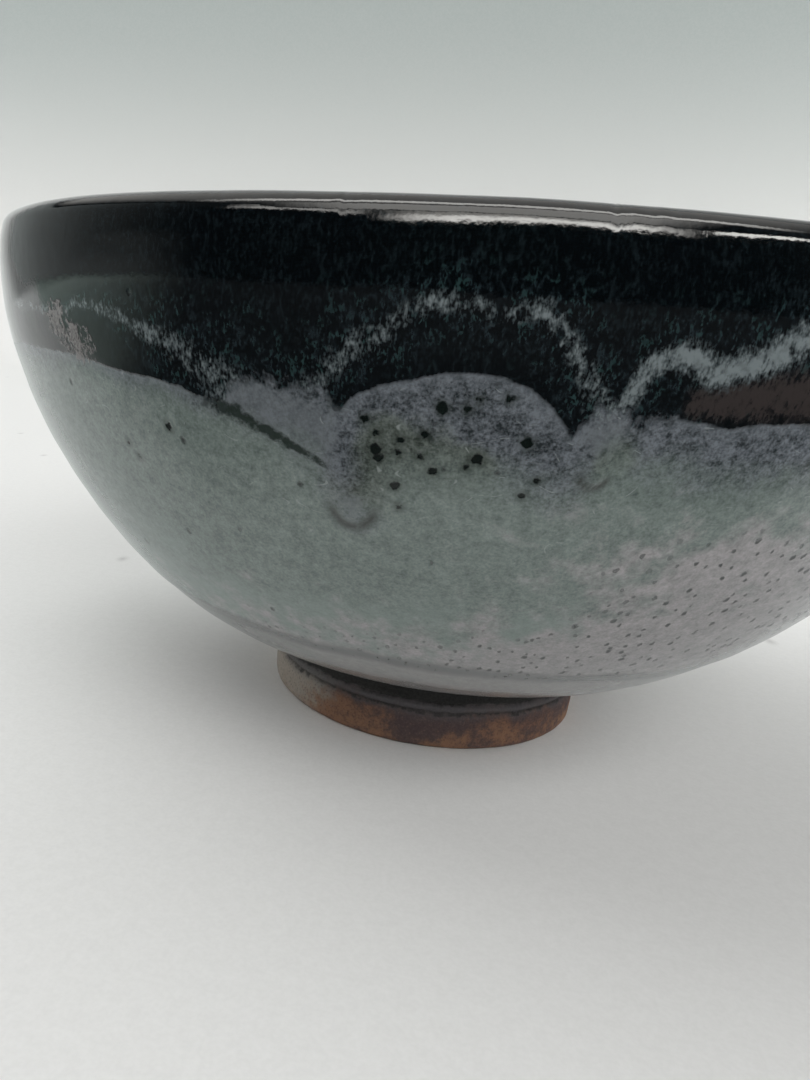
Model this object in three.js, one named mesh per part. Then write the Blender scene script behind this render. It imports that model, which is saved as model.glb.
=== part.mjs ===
// A matcha bowl: a thrown clay bowl on a turned foot ring, under four coats of fired glaze.
// Millimetres, +Z up. The origin is the middle of the foot's resting face, and -Y is the front.

import * as THREE from 'three';

const { degToRad, euclideanModulo, lerp, smoothstep } = THREE.MathUtils;

// Every piece is turned in the same number of facets, so that the coats nest without touching.
const FACETS = 48;

// Thickness of a coat of glaze, and the clearance left between neighbouring pieces.
const GLAZE = 0.7;
const GAP = 0.3;

// The glazed surface, as half a section of [radius, height] points: out from the foot, up the
// belly to the widest point, in to the round lip, and down the inside to the floor.
const FOOT_EDGE = [24.46, 10.56];
const BELLY_PULLS = [[42.4, 10.26], [64.5, 39.25]];
const WIDEST = [64.5, 59.62];
const LIP_CENTRE = [62.27, 62.71];
const LIP_ROUND = 2;
const LIP_LEAN = degToRad(12);
const LIP_PULL = 1.5;
const INSIDE_PULLS = [[60.27, 35.5], [41, 16.5]];
const FLOOR = [0, 16.5];

// The foot ring: a turned band with eased edges and two lines scored round it.
const FOOT_RADIUS = 23.6;
const FOOT_TOP_RADIUS = 23.85;
const FOOT_BORE = 18.2;
const FOOT_TOP_BORE = 17.4;
const FOOT_EASE = 0.6;
const SCORE_HEIGHTS = [5.3, 6.7];
const SCORE_WIDTH = 0.9;
const SCORE_DEPTH = 0.35;

// Edges between coats on the outside: [degrees round from the front, height] points. The dark
// coat was poured over the rim, so its edge hangs in lobes, and it runs into the pale coat.
const DARK_EDGE = [
  [-180, 49], [-140, 51], [-100, 46], [-70, 50.5], [-48, 51], [-35, 50], [-20, 48.3], [-13, 46],
  [-7, 49], [0, 52.2], [5, 51], [9, 45.5], [15, 49.6], [25, 50.2], [60, 47], [100, 51], [140, 46],
];
const RUN_EDGE = [
  [-180, 44], [-140, 46], [-100, 42], [-70, 45], [-48, 46], [-35, 45], [-20, 43], [-14, 42],
  [-7, 38], [0, 43], [9, 41], [15, 44], [25, 45], [60, 42], [100, 46], [140, 41],
];

// On the inside the dark coat ends at a height that rolls gently up and down.
const INSIDE_EDGE = 46;
const INSIDE_ROLL = 2.5;
const INSIDE_WAVES = 3;

// Steps along the section, from each of its stops to the next.
const PALE_STEPS = [10];
const RUN_STEPS = [3];
const DARK_STEPS = [3, 1, 3, 3, 3];
const LINER_STEPS = [11];
const CLAY_STEPS = [11, 1, 2, 2, 12];

const COLOURS = { clay: 0x9a7b68, foot: 0x6e4a3c, pale: 0x8f9791, run: 0x70757f, dark: 0x10171a };
const GLOSSY = 0.15;
const BARE = 0.85;

function surfaceCurves() {
  const [radius, height] = LIP_CENTRE;
  const lip = [radius + LIP_ROUND * Math.cos(LIP_LEAN), height + LIP_ROUND * Math.sin(LIP_LEAN)];
  const lipPull = [lip[0] + LIP_PULL * Math.sin(LIP_LEAN), lip[1] - LIP_PULL * Math.cos(LIP_LEAN)];
  const path = new THREE.Path();
  path.moveTo(...FOOT_EDGE);
  path.bezierCurveTo(...BELLY_PULLS[0], ...BELLY_PULLS[1], ...WIDEST);
  path.bezierCurveTo(WIDEST[0], WIDEST[1] + LIP_PULL, ...lipPull, ...lip);
  path.absarc(radius, height, LIP_ROUND, LIP_LEAN, Math.PI, false);
  path.bezierCurveTo(...INSIDE_PULLS[0], ...INSIDE_PULLS[1], ...FLOOR);
  return path;
}

// Places along the surface are shares of its length, 0 at the foot and 1 in mid floor.
const SURFACE = surfaceCurves();
const LENGTH = SURFACE.getLength();
const LIP_START = SURFACE.getCurveLengths()[1] / LENGTH;
const LIP_END = SURFACE.getCurveLengths()[2] / LENGTH;
const CROWN = lerp(LIP_START, LIP_END, (Math.PI / 2 - LIP_LEAN) / (Math.PI - LIP_LEAN));
const WIDEST_AT = SURFACE.getCurveLengths()[0] / LENGTH;
const HALF_GAP = GAP / 2 / LENGTH;

// The point of the section at a share of the way along the surface, at a depth below it.
function below(share, depth) {
  const point = SURFACE.getPoint(share);
  const along = SURFACE.getTangent(share);
  return new THREE.Vector2(Math.max(point.x - along.y * depth, 0), point.y + along.x * depth);
}

// The share at which the surface reaches a height, on the side that starts from the given end.
function shareAtHeight(height, end) {
  let [low, high] = [end, CROWN];
  while (Math.abs(high - low) > 1e-6) {
    const middle = (low + high) / 2;
    if (SURFACE.getPoint(middle).y < height) low = middle;
    else high = middle;
  }
  return low;
}

// The height of an edge at an angle, eased from each of its points to the next.
function edgeHeight(edge, degrees) {
  const closed = [...edge, [edge[0][0] + 360, edge[0][1]]];
  const turn = euclideanModulo(degrees - edge[0][0], 360) + edge[0][0];
  const next = closed.findIndex(([angle]) => angle > turn);
  const [from, to] = [closed[next - 1], closed[next]];
  return lerp(from[1], to[1], smoothstep(turn, from[0], to[0]));
}

const darkEdge = (degrees) => shareAtHeight(edgeHeight(DARK_EDGE, degrees), 0);
const runEdge = (degrees) => shareAtHeight(edgeHeight(RUN_EDGE, degrees), 0);
const insideEdge = (degrees) => {
  const roll = INSIDE_ROLL * Math.sin(degToRad(degrees * INSIDE_WAVES));
  return shareAtHeight(INSIDE_EDGE + roll, 1);
};

// Shares from each stop to the next, in so many even steps.
function sharesThrough(stops, steps) {
  const shares = [stops[0]];
  steps.forEach((count, leg) => {
    for (let step = 1; step <= count; step += 1) {
      shares.push(lerp(stops[leg], stops[leg + 1], step / count));
    }
  });
  return shares;
}

// A solid turned about Z whose section may change on the way round. The section runs
// anticlockwise, with the radius to the right and the height upwards.
function turned(sectionAt) {
  const geometry = new THREE.LatheGeometry(sectionAt(0), FACETS);
  const places = geometry.attributes.position;
  for (let facet = 0; facet <= FACETS; facet += 1) {
    const turn = (facet % FACETS) / FACETS;
    const angle = turn * 2 * Math.PI;
    const section = sectionAt(turn * 360);
    section.forEach((point, row) => {
      const index = facet * section.length + row;
      places.setXYZ(index, point.x * Math.sin(angle), point.y, point.x * Math.cos(angle));
    });
  }
  return geometry.rotateX(Math.PI / 2);
}

// A coat of glaze that lies on the surface between the stops at each angle.
function coat(stopsAt, steps) {
  return turned((degrees) => {
    const shares = sharesThrough(stopsAt(degrees), steps);
    const face = shares.map((share) => below(share, 0));
    const back = shares.map((share) => below(share, GLAZE)).reverse();
    const reachesAxis = shares.at(-1) === 1;
    return reachesAxis ? [...back, ...face] : [...face, ...back, face[0]];
  });
}

// The thrown wall and floor, inside every coat, with a flat underside.
function clayBody() {
  const shares = sharesThrough([0, WIDEST_AT, LIP_START, CROWN, LIP_END, 1], CLAY_STEPS);
  const wall = shares.map((share) => below(share, GLAZE + GAP));
  return turned(() => [new THREE.Vector2(0, wall[0].y), ...wall]);
}

function footRing() {
  const top = below(0, GLAZE + GAP).y - GAP;
  const wallRadius = (height) => lerp(FOOT_RADIUS, FOOT_TOP_RADIUS, height / top);
  const scores = SCORE_HEIGHTS.flatMap((height) => [
    [wallRadius(height - SCORE_WIDTH / 2), height - SCORE_WIDTH / 2],
    [wallRadius(height) - SCORE_DEPTH, height],
    [wallRadius(height + SCORE_WIDTH / 2), height + SCORE_WIDTH / 2],
  ]);
  const section = [
    [FOOT_BORE + FOOT_EASE, 0],
    [FOOT_RADIUS - FOOT_EASE, 0],
    [FOOT_RADIUS, FOOT_EASE],
    ...scores,
    [FOOT_TOP_RADIUS, top],
    [FOOT_TOP_BORE, top],
    [FOOT_BORE, FOOT_EASE],
    [FOOT_BORE + FOOT_EASE, 0],
  ].map((point) => new THREE.Vector2(...point));
  return turned(() => section);
}

function paleGlaze() {
  return coat((degrees) => [0, runEdge(degrees) - HALF_GAP], PALE_STEPS);
}

function overlapGlaze() {
  return coat((degrees) => [runEdge(degrees) + HALF_GAP, darkEdge(degrees) - HALF_GAP], RUN_STEPS);
}

function darkGlaze() {
  return coat((degrees) => [
    darkEdge(degrees) + HALF_GAP, WIDEST_AT, LIP_START, CROWN, LIP_END,
    insideEdge(degrees) - HALF_GAP,
  ], DARK_STEPS);
}

function linerGlaze() {
  return coat((degrees) => [insideEdge(degrees) + HALF_GAP, 1], LINER_STEPS);
}

function piece(name, geometry, color, roughness) {
  const mesh = new THREE.Mesh(geometry, new THREE.MeshStandardMaterial({ color, roughness }));
  mesh.name = name;
  return mesh;
}

const bowl = new THREE.Group();
bowl.add(
  piece('clay_body', clayBody(), COLOURS.clay, BARE),
  piece('foot_ring', footRing(), COLOURS.foot, BARE),
  piece('pale_glaze', paleGlaze(), COLOURS.pale, GLOSSY),
  piece('overlap_glaze', overlapGlaze(), COLOURS.run, GLOSSY),
  piece('dark_glaze', darkGlaze(), COLOURS.dark, GLOSSY),
  piece('liner_glaze', linerGlaze(), COLOURS.pale, GLOSSY),
);

export default bowl;
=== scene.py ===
"""A matcha bowl under its fired glazes: fine meshes, procedural glaze and clay, and a soft studio.

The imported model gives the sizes. Lengths are in millimetres unless a name says otherwise, angles
are in degrees round the bowl from its front (-Y), positive towards +X, and heights are above the
surface that the bowl stands on."""

import math
from types import SimpleNamespace

import bpy
import numpy as np
from mathutils import Matrix, Vector

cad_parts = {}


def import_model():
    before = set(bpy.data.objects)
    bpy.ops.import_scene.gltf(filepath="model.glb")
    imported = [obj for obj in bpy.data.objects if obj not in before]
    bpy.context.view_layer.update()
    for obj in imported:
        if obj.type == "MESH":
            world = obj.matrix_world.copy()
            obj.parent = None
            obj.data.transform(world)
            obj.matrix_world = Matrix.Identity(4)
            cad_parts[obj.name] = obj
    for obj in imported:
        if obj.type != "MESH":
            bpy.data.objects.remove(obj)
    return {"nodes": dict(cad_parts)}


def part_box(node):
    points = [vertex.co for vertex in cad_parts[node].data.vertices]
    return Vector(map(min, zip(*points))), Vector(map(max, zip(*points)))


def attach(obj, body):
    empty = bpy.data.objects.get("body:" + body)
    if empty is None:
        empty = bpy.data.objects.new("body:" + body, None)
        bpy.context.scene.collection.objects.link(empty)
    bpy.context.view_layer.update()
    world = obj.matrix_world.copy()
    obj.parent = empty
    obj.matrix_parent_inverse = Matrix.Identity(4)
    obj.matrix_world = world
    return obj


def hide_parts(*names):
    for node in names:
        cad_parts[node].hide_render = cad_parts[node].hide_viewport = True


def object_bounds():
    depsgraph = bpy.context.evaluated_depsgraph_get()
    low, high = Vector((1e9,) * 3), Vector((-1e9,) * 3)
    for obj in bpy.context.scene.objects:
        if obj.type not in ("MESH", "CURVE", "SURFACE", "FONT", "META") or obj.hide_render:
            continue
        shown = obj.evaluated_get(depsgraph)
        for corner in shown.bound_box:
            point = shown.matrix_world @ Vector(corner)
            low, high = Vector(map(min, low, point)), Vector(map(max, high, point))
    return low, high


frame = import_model()
CAD_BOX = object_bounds()
MM = 0.001

# Sizes that the frame gives.
RADIUS = CAD_BOX[1].x / MM
HEIGHT = CAD_BOX[1].z / MM
FOOT_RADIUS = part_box("foot_ring")[1].x / MM
FOOT_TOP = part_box("foot_ring")[1].z / MM
GLAZE_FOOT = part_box("pale_glaze")[0].z / MM

# The section of the glazed surface, as (radius, height): belly, shoulder, lip, inside.
FOOT_EDGE = (24.2, GLAZE_FOOT)
BELLY_PULLS = ((42.4, 10.26), (RADIUS, 39.25))
WIDEST = (RADIUS, 59.62)
LIP_ROUND = 2.0
LIP_CENTRE = (RADIUS - 2.23, HEIGHT - LIP_ROUND)
LIP_LEAN = math.radians(12)
LIP_PULL = 1.5
INSIDE_PULLS = ((60.27, 35.5), (41.0, 16.5))
FLOOR = (0.0, 16.5)
COAT = 0.6

# Edge of the dark glaze outside. It hangs in lobes, lifts over the dome in front, and drops in
# narrow tongues on either side of it.
DARK_EDGE = (
    (-180, 49), (-165, 47.5), (-152, 50.5), (-140, 51), (-128, 48.5), (-115, 46.5), (-100, 46),
    (-88, 48), (-78, 50.5), (-70, 50.5), (-60, 49.5), (-50, 50.3), (-40, 50.2), (-35, 50.2),
    (-30, 49.4), (-25, 49.1), (-22, 48.7), (-20, 48), (-18.8, 47.6), (-18, 47.9), (-17.2, 49.2),
    (-16.2, 49.8), (-15, 50),
    (-13, 49.8), (-10.5, 49.9), (-9.2, 50.2), (-8.6, 48.7), (-8, 48.6), (-7.4, 49.4), (-6.5, 50),
    (-5, 50.8), (-3, 51.4), (-1, 52.1), (1, 52.3), (3, 52.2), (5, 51.4), (6.5, 50.2), (7.4, 49.1),
    (8.2, 48), (8.8, 49.5), (9.4, 50.6), (10.4, 50.1), (11.2, 50.8), (12, 49.6), (13, 49.7),
    (14.5, 50.2), (16.5, 50), (18.5, 49.6), (21, 50.1), (25, 50.4), (32, 49), (40, 47.5),
    (50, 48.5), (60, 51), (72, 50), (86, 46.5), (100, 48), (112, 51), (126, 49), (140, 46),
    (155, 47), (168, 50.5),
)
# Lower limit of the blue-grey zone, where dark glaze has melted into the pale.
RUN_EDGE = (
    (-180, 44), (-160, 43), (-140, 46), (-120, 43.5), (-100, 42), (-85, 43), (-70, 46), (-50, 48),
    (-35, 48.5), (-24, 47.8), (-19, 46.2), (-15, 44.8), (-11, 43.5), (-9.2, 40.5), (-7.1, 38.4),
    (-5, 40.5), (-3.8, 43.6), (0, 44), (4, 43), (7, 41.8), (9.5, 42.2), (12, 45), (16, 45.5),
    (22, 45), (30, 45), (42, 43), (60, 45), (80, 42), (100, 44.5), (120, 45), (140, 41), (160, 44),
)
# Pale wisps inside the dark glaze, as (strength, points), each point an (angle, height, half
# width). The first one widens into the blue-grey wedge left of the dome.
WISPS = (
    (0.7, ((-36, 54, 0.5), (-33.5, 55.2, 0.5), (-30, 54.8, 0.6), (-28, 54.3, 0.7), (-26, 53.2, 0.8),
           (-24, 52.9, 1), (-22, 52.2, 1.2), (-20.5, 51.3, 1.4), (-19, 50.3, 1.6), (-17.5, 49.5, 1.8),
           (-15.5, 48.4, 1.9))),
    (0.66, ((-10.5, 50, 1.1), (-9, 51.6, 0.9), (-8, 52.8, 1), (-6.8, 53.9, 1.1), (-5.2, 54.5, 0.9),
           (-4, 56, 0.8), (-2.6, 57, 0.8), (-1, 57.4, 0.9), (0.6, 57.1, 0.7), (1.8, 56.5, 0.7),
           (3.4, 56.8, 0.8), (4.7, 57.3, 0.8), (5.8, 56.2, 0.9), (6.7, 55, 0.8), (7.6, 53.7, 0.8),
           (8.5, 52.4, 0.9), (9.2, 51, 1), (10.2, 49.6, 1.2))),
    (1.3, ((10.6, 50, 0.7), (11.4, 51.8, 0.6), (11.9, 53.6, 0.7), (12.8, 54.5, 0.8), (14.4, 54.7, 1),
            (15.6, 54.1, 1.1), (17, 53.8, 1.2), (18.3, 54.3, 1.2), (20, 55.2, 1.2), (22, 56.6, 1.2),
            (25, 57.4, 1.1), (30, 57, 1), (36, 55.5, 0.9), (43, 52, 0.8))),
    (0.62, ((52, 52, 0.9), (60, 56, 1), (70, 57.5, 1.1), (80, 55, 1.1), (88, 50.5, 1))),
    (0.68, ((96, 51, 0.8), (104, 55.5, 1), (114, 57, 1), (124, 54.5, 1), (131, 51, 0.9))),
    (0.62, ((146, 50, 1), (156, 54.5, 1.1), (168, 57.5, 1), (180, 55.5, 1))),
    (0.62, ((-180, 55.5, 1), (-170, 53, 1), (-160, 54.5, 1), (-148, 57.5, 1), (-136, 56, 1),
           (-126, 52, 0.9))),
    (0.68, ((-112, 50.5, 0.9), (-104, 54.5, 1), (-92, 56.5, 1), (-80, 55, 0.9), (-70, 54, 0.8),
           (-58, 55.5, 0.8), (-47, 54.5, 0.7), (-36, 54, 0.5))),
)
# Stretches where the dark edge is torn and speckled; elsewhere it is crisp: (from, to).
TORN = ((-19.4, -8.8), (8.6, 14.5), (44, 62), (84, 98), (124, 150), (-130, -100))
# The thin dark line that trails off below the left of the dome, as (angle, height, half width).
TAIL = (
    (-20, 48.4, 1.0), (-18.3, 47.8, 0.9), (-16.8, 47.1, 0.75), (-15.2, 46.4, 0.6),
    (-13.5, 45.7, 0.5), (-11.5, 44.7, 0.4), (-9, 43.5, 0.3),
)
# The brown-black patch under the pale wisp on the right.
BROWN = ((16.2, 51.6, 1.2), (18, 51.8, 1.4), (21, 52.3, 1.7), (24, 52.6, 1.8), (29, 52.6, 1.6))
# Soft ovals of olive and of pale haze in the blue-grey, and of rough dull crust on the dark
# glaze, as (angle, height, half width, half height). The haze oval at the bead of the left run
# is a painted highlight, and the crust's pale colour is painted sparkle.
OLIVE_PATCHES = (
    (-3.5, 45.5, 4.2, 3.4), (1.5, 45, 2.6, 1.6), (11.5, 46.5, 1.6, 2.6), (-2, 41.5, 7, 2.2),
    (70, 46, 5, 3), (118, 47, 6, 3), (-75, 47, 6, 3), (-140, 47, 7, 3), (178, 46, 5, 3),
)
HAZE_AND_HIGHLIGHT_PATCHES = (
    # The oval at (-7.1, 40.4) is a painted highlight in the bead at the end of the left run.
    (-17, 49, 4, 1.4), (-14, 47, 4, 2), (-10.5, 45.5, 2.6, 3.4), (-7.1, 40.4, 1.5, 1.4),
    (10.5, 48.5, 2, 1.6), (60, 47, 6, 2), (120, 46, 6, 2), (-110, 46, 6, 2), (165, 47, 7, 2),
)
# Partly painted reflection: the crust patches get a pale colour that stands in for sparkle on their
# rough glaze.
CRUST_AND_SPARKLE_PATCHES = ((-37.6, 53.6, 2.0, 1.8), (-34.4, 51.2, 2.6, 1.7))
# Raised runs of glaze: (half width, how far proud, top, end), each ending in a round bead.
RUNS = (
    (2.0, 0.34, (-7.6, 46.5), (-7.1, 40.2)),
    (1.15, 0.22, (10.4, 50), (10.5, 45.3)),
    (1.3, 0.24, (64, 50), (65, 43)),
    (1.8, 0.3, (141, 47), (141.5, 38.5)),
    (1.2, 0.22, (-101, 47), (-101.5, 40)),
    (1.5, 0.25, (-128, 48), (-127, 42.5)),
)
# Iron spots that burnt through the dome: (angle, height, radius).
SPOTS = (
    (-0.8, 49.5, 0.52), (0.9, 49.6, 0.34), (3.6, 50.7, 0.40), (1.6, 50.3, 0.28), (-6.2, 48, 0.40),
    (-5.3, 47, 0.36), (-3.5, 46.6, 0.42), (-1.8, 47.3, 0.44), (5.3, 47.4, 0.52),
    (-5.3, 45.6, 0.60), (-5.1, 44.9, 0.50), (-3.6, 45.6, 0.34), (-2, 45.4, 0.34), (2.1, 45.7, 0.50),
    (1.4, 45, 0.34), (-1, 44.3, 0.42), (6.6, 44.4, 0.30), (5.8, 43, 0.32), (-3.7, 42.7, 0.44),
    (-3.3, 40.7, 0.32), (-8.3, 48.8, 0.55), (-24.2, 44.8, 0.50), (-29.5, 41, 0.36),
    (-30.5, 42.3, 0.34),
)
# Inside, the dark glaze ends at this height, give or take its roll, and mixes this far below.
INSIDE_EDGE = 46.0
INSIDE_ROLL = 2.5
INSIDE_MIX = 5
# The height outside at which the glaze thins and steps back above the foot.
THIN_TOP = 20.8

# Spacing of the mesh columns in degrees, finer over the front, and of the rows in millimetres.
FRONT_SPAN = 62
FINE_COLUMN = 0.36
COARSE_COLUMN = 1.0
FINE_ROW = 0.36
PALE_ROW = 0.55
LINER_ROW = 0.8
# Length round the wall for a degree, at about the height of the glaze edges.
UNROLL = 62.0 * math.pi / 180


# ---- Shape -------------------------------------------------------------------------------------

def bezier(a, b, c, d, count=400):
    """Points along a cubic curve from a to d, pulled towards b and c."""
    t = np.linspace(0, 1, count)[:, None]
    a, b, c, d = (np.array(p, float) for p in (a, b, c, d))
    return a * (1 - t) ** 3 + 3 * b * t * (1 - t) ** 2 + 3 * c * t * t * (1 - t) + d * t ** 3


def glazed_section():
    """Dense points of the section, from the foot over the lip to the middle of the floor."""
    lip = np.array(LIP_CENTRE)
    lean = np.array((math.cos(LIP_LEAN), math.sin(LIP_LEAN)))
    start = lip + LIP_ROUND * lean
    pull = start + LIP_PULL * np.array((lean[1], -lean[0]))
    turn = np.linspace(LIP_LEAN, math.pi, 200)
    arc = lip + LIP_ROUND * np.stack((np.cos(turn), np.sin(turn)), 1)
    return np.concatenate((
        bezier(FOOT_EDGE, *BELLY_PULLS, WIDEST)[:-1],
        bezier(WIDEST, (WIDEST[0], WIDEST[1] + LIP_PULL), pull, start)[:-1],
        arc[:-1],
        bezier((lip[0] - LIP_ROUND, lip[1]), *INSIDE_PULLS, FLOOR),
    ))


SECTION = glazed_section()
STEPS = np.hypot(*np.diff(SECTION, axis=0).T)
LENGTHS = np.concatenate(([0], np.cumsum(STEPS)))
CROWN = LENGTHS[SECTION[:, 1].argmax()]
END = LENGTHS[-1]


def on_section(s):
    """Radius, height and outward normal at lengths s along the section."""
    along = np.gradient(SECTION, LENGTHS, axis=0)
    r, z, tr, tz = (np.interp(s, LENGTHS, v) for v in (*SECTION.T, *along.T))
    size = np.hypot(tr, tz)
    return r, z, tz / size, -tr / size


def length_at_height(height, inside=False):
    """The length along the section at which it reaches a height."""
    top = SECTION[:, 1].argmax()
    if inside:
        return np.interp(height, SECTION[top:, 1][::-1], LENGTHS[top:][::-1])
    low = SECTION[:, 1].argmin()
    return np.interp(height, SECTION[low:top + 1, 1], LENGTHS[low:top + 1])


def edge_at(edge, degrees):
    angles, heights = np.array(edge, float).T
    angles = np.append(angles, angles[0] + 360)
    return np.interp(degrees, angles, np.append(heights, heights[0]))


def inside_edge_at(degrees):
    turn = np.radians(degrees)
    return INSIDE_EDGE + INSIDE_ROLL * (np.sin(3 * turn) + 0.4 * np.sin(7 * turn + 1))


def smoothstep(low, high, x):
    t = np.clip((x - low) / (high - low), 0, 1)
    return t * t * (3 - 2 * t)


def ripple(points, wavelength, seed, waves=9):
    """Smooth noise from -1 to 1 in space, as a sum of plane waves in random directions."""
    rng = np.random.default_rng(seed)
    ways = rng.normal(size=(waves, 3))
    ways /= np.linalg.norm(ways, axis=1)[:, None]
    phases = rng.uniform(0, 2 * math.pi, waves)
    total = sum(
        np.sin(points @ way * (2 * math.pi / wavelength) + phase)
        for way, phase in zip(ways, phases)
    )
    return total / math.sqrt(waves * 2)


def distance_to_line(degrees, heights, line):
    """Distance over the unrolled wall from points to a line of (angle, height) points. Where the
    line's points carry a half width too, the distance is a share of it."""
    best = np.full(heights.shape, 1e9)
    for start, stop in zip(line[:-1], line[1:]):
        ax, dx = start[0] * UNROLL, (stop[0] - start[0]) * UNROLL
        dy = stop[1] - start[1]
        x, y = degrees * UNROLL - ax, heights - start[1]
        t = np.clip((x * dx + y * dy) / (dx * dx + dy * dy), 0, 1)
        away = np.hypot(x - t * dx, y - t * dy)
        if len(start) == 3:
            away = away / (start[2] + t * (stop[2] - start[2]))
        best = np.minimum(best, away)
    return best


def signed_distance(degrees, heights, edge):
    """Distance above (positive) or below an edge that runs right round the bowl."""
    last, first = edge[-1], edge[0]
    ring = ((last[0] - 360, last[1]), *edge, (first[0] + 360, first[1]))
    away = distance_to_line(degrees, heights, ring)
    return np.where(heights > edge_at(edge, degrees), away, -away)


def above_edge(degrees, s, z, edge, inside_drop=0):
    """Distance above an edge outside, or above a drop below the dark glaze's edge inside."""
    inside = z - inside_edge_at(degrees) + inside_drop
    return np.where(s < CROWN, signed_distance(degrees, z, edge), inside)


def run_profile(degrees, heights, run):
    """How far a raised run stands proud, from 0 to 1, and the distance out from its middle."""
    half, _, top, end = run
    away = distance_to_line(degrees, heights, (top, end))
    fade = smoothstep(top[1] + half, top[1] - 2 * half, heights)
    return (1 - smoothstep(0.35 * half, 1.15 * half, away)) * fade, away


def patch_at(degrees, heights, patch):
    """A soft oval from 1 at its middle to 0, from (angle, height, half width, half height)."""
    angle, height, wide, tall = patch
    across = (degrees - angle) * UNROLL / wide
    return np.exp(-(across ** 2) - ((heights - height) / tall) ** 2)


def fields(degrees, s):
    """The smooth maps that the glaze material reads, at each vertex."""
    _, z, _, _ = on_section(s)
    outside = s < CROWN
    wisp = np.zeros(z.shape)
    veil = np.zeros(z.shape)
    for strength, line in WISPS:
        away = distance_to_line(degrees, z, line)
        wisp = np.maximum(wisp, strength * np.exp(-(away ** 2)))
        veil = np.maximum(veil, np.exp(-((away / 3.2) ** 2)))
    tail = np.exp(-(distance_to_line(degrees, z, TAIL) ** 2)) * smoothstep(-6.5, -12.5, degrees)
    brown = np.exp(-(distance_to_line(degrees, z, BROWN) ** 2))
    torn = sum(
        smoothstep(start - 0.8, start + 0.8, degrees) * smoothstep(stop + 0.8, stop - 0.8, degrees)
        for start, stop in TORN
    )
    # Painted shade: a dark ring round the edge of each run's bead.
    bead_shade = np.zeros(z.shape)
    for run in RUNS:
        half, _, _, end = run
        _, away = run_profile(degrees, z, run)
        ring = np.exp(-(((away - 0.98 * half) / (0.26 * half)) ** 2))
        bead_shade = np.maximum(bead_shade, ring * smoothstep(end[1] + 0.3 * half, end[1] - 0.5 * half, z))
    olive = sum(patch_at(degrees, z, patch) for patch in OLIVE_PATCHES)
    crust_and_sparkle = sum(patch_at(degrees, z, patch) for patch in CRUST_AND_SPARKLE_PATCHES)
    haze_and_highlight = sum(patch_at(degrees, z, patch) for patch in HAZE_AND_HIGHLIGHT_PATCHES)
    marks = {
        "wisp": wisp, "veil": veil, "tail": tail, "brown": brown, "bead_shade": bead_shade, "olive": olive,
        "crust_and_sparkle": crust_and_sparkle, "haze_and_highlight": haze_and_highlight,
    }
    maps = {name: np.where(outside, values, 0) for name, values in marks.items()}
    maps["torn"] = np.where(outside, torn, 1)
    maps["dark"] = above_edge(degrees, s, z, DARK_EDGE)
    maps["low"] = above_edge(degrees, s, z, RUN_EDGE, INSIDE_MIX)
    maps["along"] = s
    return maps


# Relief of the fine meshes in millimetres: how far the dark glaze stands over the pale, the step
# where the glaze thins above the foot, ripples left by hand and by the wheel, and how far the skin
# is set back, which keeps its highest points inside the frame's box.
DARK_STEP = 0.1
BAND_STEP = 0.12
RIPPLE_WIDE = 0.05
RIPPLE_SMALL = 0.018
RING_DEPTH = 0.016
RING_SPACING = 5.5
SET_BACK = 0.09


def relief(degrees, s, points):
    """How far the glaze stands out from the section, never past the frame's box at the rim."""
    _, z, _, _ = on_section(s)
    outside = s < CROWN
    dark = above_edge(degrees, s, z, DARK_EDGE)
    thick = DARK_STEP * smoothstep(-1.1, 1.3, dark) - DARK_STEP
    for run in RUNS:
        raised, _ = run_profile(degrees, z, run)
        thick = thick + np.where(outside, run[1] * raised, 0)
    band = BAND_STEP * smoothstep(THIN_TOP - 0.6, THIN_TOP + 0.8, z) - BAND_STEP
    thick = thick + np.where(outside, band, 0)
    hand = RIPPLE_WIDE * ripple(points, 30, 5) + RIPPLE_SMALL * ripple(points, 9, 6) - SET_BACK
    rings = RING_DEPTH * np.sin(2 * math.pi * s / RING_SPACING + 1.5 * ripple(points, 60, 7))
    calm = smoothstep(0, 8, s) * smoothstep(0, 5, END - s)
    return (thick + hand + rings) * calm


def columns():
    return np.concatenate((
        np.arange(-180, -FRONT_SPAN, COARSE_COLUMN),
        np.arange(-FRONT_SPAN, FRONT_SPAN, FINE_COLUMN),
        np.arange(FRONT_SPAN, 180, COARSE_COLUMN),
    ))


def place(degrees, radius, height):
    turn = np.radians(degrees)
    return np.stack((radius * np.sin(turn), -radius * np.cos(turn), height), -1)


def coat_points(degrees, s, depth):
    """Points at a depth under the glazed surface, with the relief fading out at its back."""
    r, z, nr, nz = on_section(s)
    skin = place(degrees, r, z)
    out = relief(degrees, s, skin) if depth == 0 else 0 * s
    return place(degrees, np.maximum(r + nr * (out - depth), 0), z + nz * (out - depth))


def mesh_piece(name, points, quads, node, material, maps=None):
    """A smooth mesh that stands for a node of the frame. Points are in millimetres."""
    mesh = bpy.data.meshes.new(name)
    mesh.from_pydata((points * MM).tolist(), [], quads)
    for key, values in (maps or {}).items():
        layer = mesh.attributes.new(key, "FLOAT", "POINT")
        layer.data.foreach_set("value", values.astype(np.float32))
    mesh.polygons.foreach_set("use_smooth", np.ones(len(mesh.polygons), bool))
    mesh.set_sharp_from_angle(angle=math.radians(50))
    mesh.materials.append(material)
    piece = bpy.data.objects.new(name, mesh)
    bpy.context.scene.collection.objects.link(piece)
    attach(piece, "root")
    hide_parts(node)
    return piece


def loop_faces(rows, around, closed=True):
    """Quads of a grid of rows by columns that wraps round, and wraps over if it is closed."""
    faces = []
    for row in range(rows if closed else rows - 1):
        up = (row + 1) % rows
        for col in range(around):
            nxt = (col + 1) % around
            faces.append((row * around + col, row * around + nxt, up * around + nxt, up * around + col))
    return faces


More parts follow.
